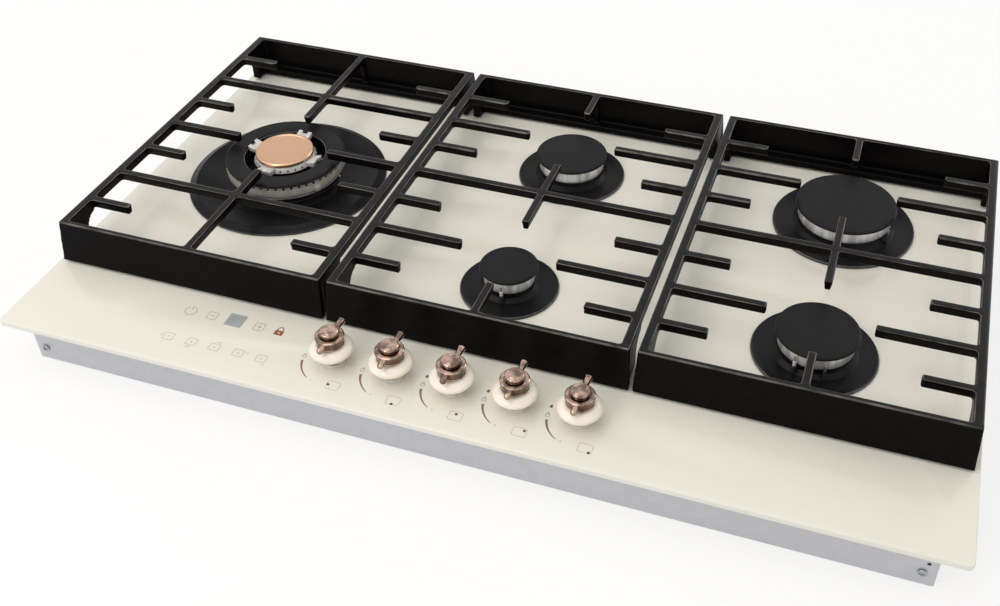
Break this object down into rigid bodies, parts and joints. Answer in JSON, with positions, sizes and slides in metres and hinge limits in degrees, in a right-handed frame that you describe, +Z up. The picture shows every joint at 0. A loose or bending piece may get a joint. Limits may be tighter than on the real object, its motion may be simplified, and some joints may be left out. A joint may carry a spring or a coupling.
{
  "type": "gas cooktop",
  "caption": "Built-in gas cooktop: cream glass plate over a steel tray, lift-off cast iron pan supports, round burners and a large wok burner, push-and-turn knobs",
  "frame": {"origin": "bottom of the tray, under the middle of the glass plate", "axes": "+X to the right of the cook who stands at the knobs, +Y to the back, +Z up"},
  "size_m": [0.86, 0.5, 0.0954],
  "materials": {
    "glass_top": "tempered glass 6 mm thick, back-printed opaque cream, polished top and ground edge",
    "tray": "galvanised sheet steel, plain grey, matt",
    "gas_rail": "drawn steel tube",
    "module": "moulded housing, dark grey",
    "board": "printed circuit board with its carrier",
    "cast_aluminium": "die cast, as cast",
    "crown_aluminium": "machined cast aluminium, bright",
    "black_enamel": "vitreous enamel on pressed steel, black, semi-gloss",
    "ceramic": "glazed white ceramic sleeve with a wire tip",
    "steel_pin": "drawn steel rod and nut",
    "cast_iron": "cast iron with black matt enamel",
    "copper_plate": "rose gold coloured plating, polished",
    "cream_knob": "moulded plastic, cream, polished",
    "brass": "machined brass"
  },
  "bodies": {
    "body": {"glass_top": "glass_top", "tray_case": "tray", "gas_rail": "gas_rail", "ignition_module": "module", "touch_board": "board", "burner_cup_left_wok": "cast_aluminium", "burner_plate_left_wok": "black_enamel", "spark_electrode_left_wok": "ceramic", "flame_sensor_left_wok": "steel_pin", "burner_cup_middle_front": "cast_aluminium", "burner_plate_middle_front": "black_enamel", "spark_electrode_middle_front": "ceramic", "flame_sensor_middle_front": "steel_pin", "burner_cup_middle_back": "cast_aluminium", "burner_plate_middle_back": "black_enamel", "spark_electrode_middle_back": "ceramic", "flame_sensor_middle_back": "steel_pin", "burner_cup_right_back": "cast_aluminium", "burner_plate_right_back": "black_enamel", "spark_electrode_right_back": "ceramic", "flame_sensor_right_back": "steel_pin", "burner_cup_right_front": "cast_aluminium", "burner_plate_right_front": "black_enamel", "spark_electrode_right_front": "ceramic", "flame_sensor_right_front": "steel_pin", "tap_body_1": "brass", "tap_body_2": "brass", "tap_body_3": "brass", "tap_body_4": "brass", "tap_body_5": "brass"},
    "tap_1": {"tap_plug_1": "brass"},
    "knob_1": {"knob_bowl_1": "cream_knob", "knob_lever_1": "copper_plate"},
    "tap_2": {"tap_plug_2": "brass"},
    "knob_2": {"knob_bowl_2": "cream_knob", "knob_lever_2": "copper_plate"},
    "tap_3": {"tap_plug_3": "brass"},
    "knob_3": {"knob_bowl_3": "cream_knob", "knob_lever_3": "copper_plate"},
    "tap_4": {"tap_plug_4": "brass"},
    "knob_4": {"knob_bowl_4": "cream_knob", "knob_lever_4": "copper_plate"},
    "tap_5": {"tap_plug_5": "brass"},
    "knob_5": {"knob_bowl_5": "cream_knob", "knob_lever_5": "copper_plate"},
    "grate_left": {"grate_left": "cast_iron"},
    "grate_middle": {"grate_middle": "cast_iron"},
    "grate_right": {"grate_right": "cast_iron"},
    "crown_left_wok": {"crown_left_wok": "crown_aluminium"},
    "cap_left_wok": {"cap_left_wok": "black_enamel"},
    "crown_middle_front": {"crown_middle_front": "crown_aluminium"},
    "cap_middle_front": {"cap_middle_front": "black_enamel"},
    "crown_middle_back": {"crown_middle_back": "crown_aluminium"},
    "cap_middle_back": {"cap_middle_back": "black_enamel"},
    "crown_right_back": {"crown_right_back": "crown_aluminium"},
    "cap_right_back": {"cap_right_back": "black_enamel"},
    "crown_right_front": {"crown_right_front": "crown_aluminium"},
    "cap_right_front": {"cap_right_front": "black_enamel"},
    "wok_inner_crown": {"wok_inner_crown": "crown_aluminium"},
    "wok_centre_cap": {"wok_centre_cap": "copper_plate"}
  },
  "joints": [
    {"name": "knob_turn_1", "type": "hinge", "parent": "body", "child": "tap_1", "pos_m": [-0.113, -0.202, 0.0285], "axis": [0, 0, 1], "range_deg": [0, 180]},
    {"name": "knob_press_1", "type": "slide", "parent": "tap_1", "child": "knob_1", "axis": [0, 0, -1], "range_m": [0, 0.003], "stiffness_N_per_m": 600, "springref_m": -0.004},
    {"name": "knob_turn_2", "type": "hinge", "parent": "body", "child": "tap_2", "pos_m": [-0.0565, -0.202, 0.0285], "axis": [0, 0, 1], "range_deg": [0, 180]},
    {"name": "knob_press_2", "type": "slide", "parent": "tap_2", "child": "knob_2", "axis": [0, 0, -1], "range_m": [0, 0.003], "stiffness_N_per_m": 600, "springref_m": -0.004},
    {"name": "knob_turn_3", "type": "hinge", "parent": "body", "child": "tap_3", "pos_m": [0, -0.202, 0.0285], "axis": [0, 0, 1], "range_deg": [0, 180]},
    {"name": "knob_press_3", "type": "slide", "parent": "tap_3", "child": "knob_3", "axis": [0, 0, -1], "range_m": [0, 0.003], "stiffness_N_per_m": 600, "springref_m": -0.004},
    {"name": "knob_turn_4", "type": "hinge", "parent": "body", "child": "tap_4", "pos_m": [0.0565, -0.202, 0.0285], "axis": [0, 0, 1], "range_deg": [0, 180]},
    {"name": "knob_press_4", "type": "slide", "parent": "tap_4", "child": "knob_4", "axis": [0, 0, -1], "range_m": [0, 0.003], "stiffness_N_per_m": 600, "springref_m": -0.004},
    {"name": "knob_turn_5", "type": "hinge", "parent": "body", "child": "tap_5", "pos_m": [0.113, -0.202, 0.0285], "axis": [0, 0, 1], "range_deg": [0, 180]},
    {"name": "knob_press_5", "type": "slide", "parent": "tap_5", "child": "knob_5", "axis": [0, 0, -1], "range_m": [0, 0.003], "stiffness_N_per_m": 600, "springref_m": -0.004},
    {"name": "grate_lift_left", "type": "slide", "parent": "body", "child": "grate_left", "axis": [0, 0, 1], "range_m": [0, 0.12]},
    {"name": "grate_lift_middle", "type": "slide", "parent": "body", "child": "grate_middle", "axis": [0, 0, 1], "range_m": [0, 0.12]},
    {"name": "grate_lift_right", "type": "slide", "parent": "body", "child": "grate_right", "axis": [0, 0, 1], "range_m": [0, 0.12]},
    {"name": "crown_lift_left_wok", "type": "slide", "parent": "body", "child": "crown_left_wok", "axis": [0, 0, 1], "range_m": [0, 0.03]},
    {"name": "cap_lift_left_wok", "type": "slide", "parent": "crown_left_wok", "child": "cap_left_wok", "axis": [0, 0, 1], "range_m": [0, 0.03]},
    {"name": "crown_lift_middle_front", "type": "slide", "parent": "body", "child": "crown_middle_front", "axis": [0, 0, 1], "range_m": [0, 0.03]},
    {"name": "cap_lift_middle_front", "type": "slide", "parent": "crown_middle_front", "child": "cap_middle_front", "axis": [0, 0, 1], "range_m": [0, 0.03]},
    {"name": "crown_lift_middle_back", "type": "slide", "parent": "body", "child": "crown_middle_back", "axis": [0, 0, 1], "range_m": [0, 0.03]},
    {"name": "cap_lift_middle_back", "type": "slide", "parent": "crown_middle_back", "child": "cap_middle_back", "axis": [0, 0, 1], "range_m": [0, 0.03]},
    {"name": "crown_lift_right_back", "type": "slide", "parent": "body", "child": "crown_right_back", "axis": [0, 0, 1], "range_m": [0, 0.03]},
    {"name": "cap_lift_right_back", "type": "slide", "parent": "crown_right_back", "child": "cap_right_back", "axis": [0, 0, 1], "range_m": [0, 0.03]},
    {"name": "crown_lift_right_front", "type": "slide", "parent": "body", "child": "crown_right_front", "axis": [0, 0, 1], "range_m": [0, 0.03]},
    {"name": "cap_lift_right_front", "type": "slide", "parent": "crown_right_front", "child": "cap_right_front", "axis": [0, 0, 1], "range_m": [0, 0.03]},
    {"name": "wok_inner_crown_lift", "type": "slide", "parent": "crown_left_wok", "child": "wok_inner_crown", "axis": [0, 0, 1], "range_m": [0, 0.018]},
    {"name": "wok_centre_cap_lift", "type": "slide", "parent": "wok_inner_crown", "child": "wok_centre_cap", "axis": [0, 0, 1], "range_m": [0, 0.024]}
  ],
  "couplings": [
    {"joint": "crown_lift_left_wok", "follows": "grate_lift_left", "ratio": 0.25},
    {"joint": "cap_lift_left_wok", "follows": "grate_lift_left", "ratio": 0.25},
    {"joint": "crown_lift_middle_front", "follows": "grate_lift_middle", "ratio": 0.25},
    {"joint": "cap_lift_middle_front", "follows": "grate_lift_middle", "ratio": 0.25},
    {"joint": "crown_lift_middle_back", "follows": "grate_lift_middle", "ratio": 0.25},
    {"joint": "cap_lift_middle_back", "follows": "grate_lift_middle", "ratio": 0.25},
    {"joint": "crown_lift_right_back", "follows": "grate_lift_right", "ratio": 0.25},
    {"joint": "cap_lift_right_back", "follows": "grate_lift_right", "ratio": 0.25},
    {"joint": "crown_lift_right_front", "follows": "grate_lift_right", "ratio": 0.25},
    {"joint": "cap_lift_right_front", "follows": "grate_lift_right", "ratio": 0.25},
    {"joint": "wok_inner_crown_lift", "follows": "grate_lift_left", "ratio": 0.15},
    {"joint": "wok_centre_cap_lift", "follows": "grate_lift_left", "ratio": 0.2}
  ]
}
